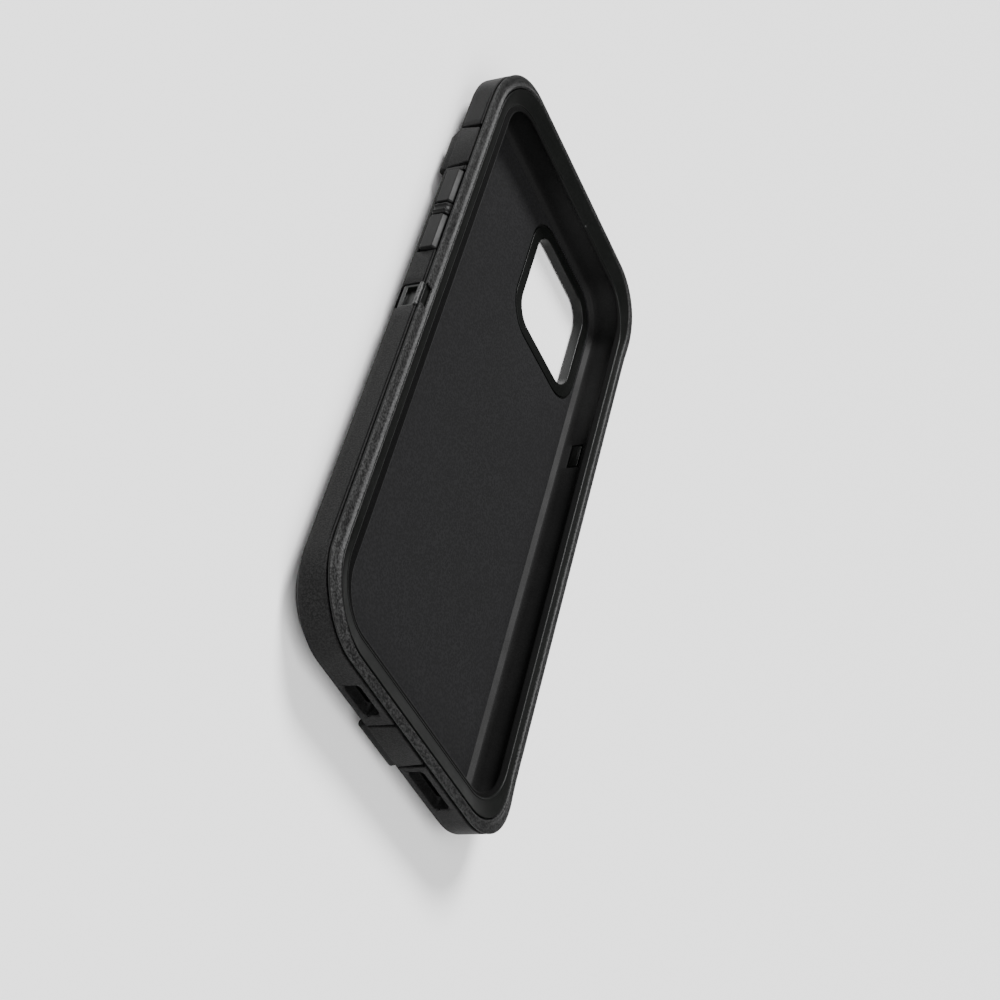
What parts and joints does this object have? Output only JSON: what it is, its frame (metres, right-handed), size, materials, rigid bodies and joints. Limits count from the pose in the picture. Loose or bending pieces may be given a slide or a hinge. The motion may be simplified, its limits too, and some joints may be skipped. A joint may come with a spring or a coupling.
{
  "type": "phone case",
  "caption": "Rugged two-part case for a large phone: soft outer sleeve, hard inner tray, clip-fit front frame, hinged port covers and push keys.",
  "frame": {"origin": "under the middle of the case, on the surface that its flat back lies on", "axes": "+X to the right of the phone seen from the front, +Y towards the phone's top end, +Z out of the phone's screen"},
  "size_m": [0.0918, 0.173, 0.0127],
  "materials": {
    "soft_black": "matte black thermoplastic elastomer with a fine moulded grain",
    "soft_grained": "matte black thermoplastic elastomer with a coarse grip grain",
    "hard_black": "satin black moulded polycarbonate",
    "foam": "thin black closed-cell foam liner"
  },
  "bodies": {
    "case": {"outer_sleeve": "soft_black", "back_shell": "hard_black", "back_pad": "foam", "camera_guard": "hard_black", "volume_bridge": "soft_black"},
    "front": {"front_frame": "hard_black", "rim_bumper": "soft_grained"},
    "latch_left": {"side_latch_left": "hard_black"},
    "latch_right": {"side_latch_right": "hard_black"},
    "mute_cover": {"mute_switch_cover": "soft_black"},
    "port_flap": {"port_cover": "soft_black"},
    "volume_up": {"volume_up_button": "soft_black", "volume_up_plunger": "hard_black"},
    "volume_down": {"volume_down_button": "soft_black", "volume_down_plunger": "hard_black"},
    "power": {"power_button": "soft_black", "power_plunger": "hard_black"}
  },
  "joints": [
    {"name": "front_release", "type": "slide", "parent": "case", "child": "front", "axis": [0, 0, 1], "range_m": [0, 0.03]},
    {"name": "latch_left_flex", "type": "hinge", "parent": "case", "child": "latch_left", "pos_m": [-0.04305, 0, 0.00485], "axis": [0, -1, 0], "range_deg": [0, 18], "stiffness_Nm_per_rad": 0.05},
    {"name": "latch_right_flex", "type": "hinge", "parent": "case", "child": "latch_right", "pos_m": [0.04305, 0, 0.00485], "axis": [0, 1, 0], "range_deg": [0, 18], "stiffness_Nm_per_rad": 0.05},
    {"name": "mute_cover_hinge", "type": "hinge", "parent": "case", "child": "mute_cover", "pos_m": [-0.04355, 0.0504, 0.00315], "axis": [0, -1, 0], "range_deg": [0, 100], "stiffness_Nm_per_rad": 0.002},
    {"name": "port_cover_hinge", "type": "hinge", "parent": "case", "child": "port_flap", "pos_m": [0, -0.0851, 0.00315], "axis": [1, 0, 0], "range_deg": [0, 100], "stiffness_Nm_per_rad": 0.002},
    {"name": "volume_up_press", "type": "slide", "parent": "case", "child": "volume_up", "axis": [1, 0, 0], "range_m": [0, 0.0005], "stiffness_N_per_m": 1500},
    {"name": "volume_down_press", "type": "slide", "parent": "case", "child": "volume_down", "axis": [1, 0, 0], "range_m": [0, 0.0005], "stiffness_N_per_m": 1500},
    {"name": "power_press", "type": "slide", "parent": "case", "child": "power", "axis": [-1, 0, 0], "range_m": [0, 0.0005], "stiffness_N_per_m": 1500}
  ]
}
